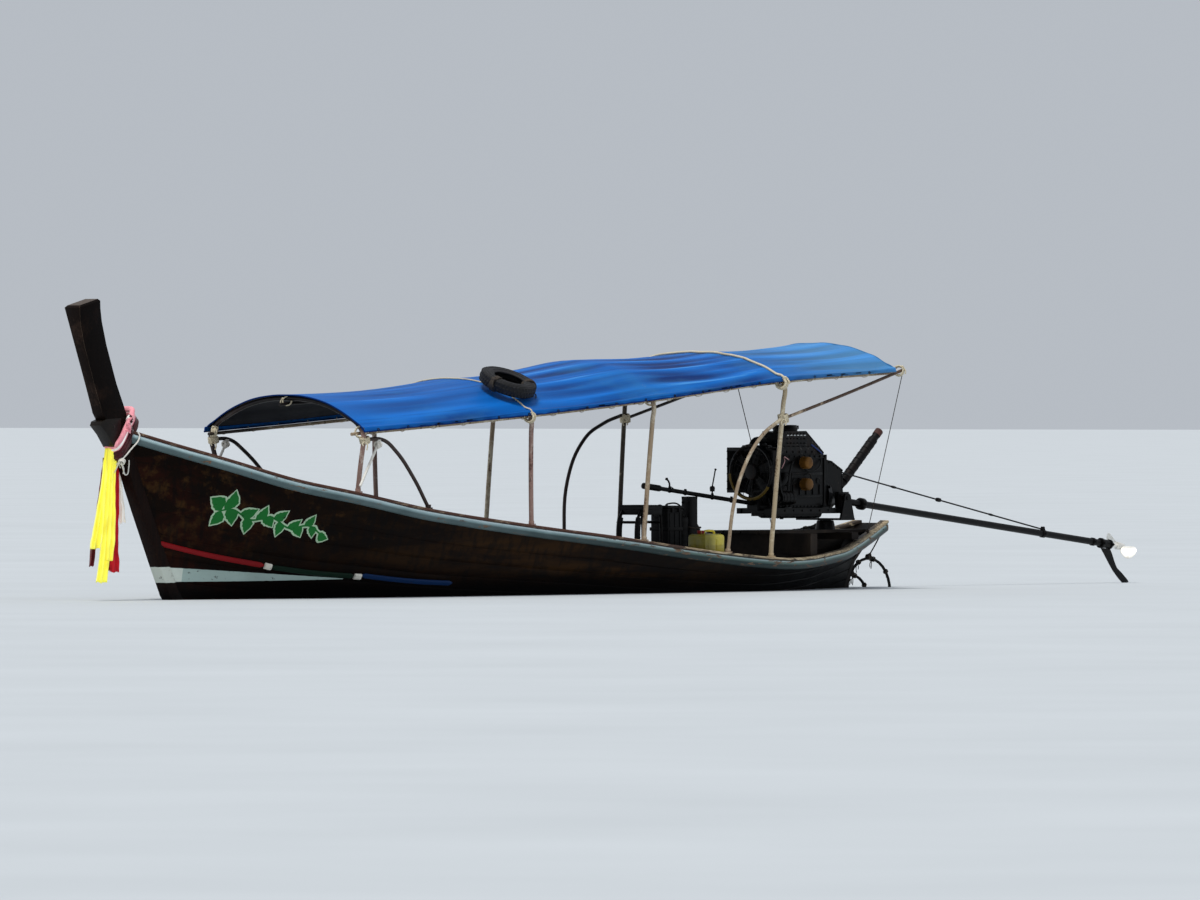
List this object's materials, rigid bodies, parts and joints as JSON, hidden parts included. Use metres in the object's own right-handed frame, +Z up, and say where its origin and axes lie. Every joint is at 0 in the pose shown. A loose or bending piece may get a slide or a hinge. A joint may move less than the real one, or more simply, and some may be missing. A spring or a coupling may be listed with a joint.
{
  "type": "longtail boat",
  "caption": "Open wooden longtail boat, afloat, with tall stem post, hooped canopy, deck-mounted engine and long tail shaft that swings and tilts with its propeller.",
  "frame": {"origin": "amidships on the centreline, at the waterline", "axes": "+X to the bow, +Y to port, +Z up"},
  "size_m": [13.938, 1.9294, 2.8497],
  "materials": {
    "planking": "dark brown varnished planks, patchy and worn, darker below the waterline",
    "keelwood": "dark oiled timber, worn",
    "stemwood": "weathered dark brown timber with open grain",
    "rail_paint": "pale turquoise paint, chipped",
    "cap_wood": "worn brown timber",
    "deck_timber": "bare grey-brown boards",
    "frame_tube": "thin painted tube, faded and rusty",
    "tarpaulin": "blue woven plastic sheet, dark navy underneath",
    "rubber": "worn black rubber",
    "engine_iron": "oily black castings and plates",
    "engine_steel": "grey worn steel",
    "filter_yellow": "yellow canisters",
    "can_plastic": "yellow plastic, scuffed",
    "blade_metal": "bright worn blades",
    "cloth_red": "dark red and pink cloth",
    "cloth_white": "white ribbon",
    "cloth_yellow": "bright yellow ribbon"
  },
  "bodies": {
    "hull": {"plank_bottom_port": "planking", "plank_bottom_starboard": "planking", "plank_side_port": "planking", "plank_side_starboard": "planking", "keel": "keelwood", "stem_post": "stemwood", "nose_block": "keelwood", "transom": "planking", "sternpost": "keelwood", "rub_rail_port": "rail_paint", "rub_rail_starboard": "rail_paint", "rail_cap_port": "cap_wood", "rail_cap_starboard": "cap_wood", "ribs_keelson_fore": "deck_timber", "ribs_keelson_aft": "deck_timber", "thwarts_risers": "deck_timber", "floorboards": "deck_timber", "helm_deck": "deck_timber", "foredeck": "deck_timber", "engine_deck": "deck_timber", "pivot_seat": "engine_iron", "hoop_1": "frame_tube", "hoop_2": "frame_tube", "hoop_3": "frame_tube", "hoop_4": "frame_tube", "brace_fore_port": "frame_tube", "brace_fore_starboard": "frame_tube", "brace_aft_port": "frame_tube", "brace_aft_starboard": "frame_tube", "eave_pole_port": "frame_tube", "eave_pole_starboard": "frame_tube", "ridge_pole": "frame_tube", "aft_strut_port": "frame_tube", "aft_strut_starboard": "frame_tube", "canopy_tarp": "tarpaulin", "tarp_tyre": "rubber", "bow_sash": "cloth_red", "ribbon_yellow": "cloth_yellow", "ribbon_red": "cloth_red", "ribbon_white": "cloth_white", "helm_stool": "engine_iron", "battery_box": "engine_iron", "tiller_crutch": "engine_iron", "fuel_can": "can_plastic", "stern_ring_1": "rubber", "stern_ring_2": "rubber"},
    "swivel": {"swivel_yoke": "engine_iron"},
    "engine": {"engine_cradle": "engine_iron", "engine_block": "engine_iron", "cylinder_head": "engine_steel", "air_cleaner": "engine_iron", "radiator": "engine_steel", "filter_1": "filter_yellow", "filter_2": "filter_yellow", "bell_housing": "engine_iron", "exhaust": "engine_steel", "tail_tube": "engine_iron", "skeg": "engine_iron", "tiller": "engine_iron"},
    "propeller": {"propeller": "blade_metal"}
  },
  "joints": [
    {"name": "tail_swing", "type": "hinge", "parent": "hull", "child": "swivel", "pos_m": [-4.4, 0, 0.6], "axis": [0, 0, 1], "range_deg": [-17, 17]},
    {"name": "tail_tilt", "type": "hinge", "parent": "swivel", "child": "engine", "pos_m": [-4.4, 0, 0.795], "axis": [0, -1, 0], "range_deg": [0, 7.5]},
    {"name": "prop_spin", "type": "hinge", "parent": "engine", "child": "propeller", "pos_m": [-8.585, 0, 0.3323], "axis": [0.994, 0, 0.1097], "continuous": true}
  ]
}
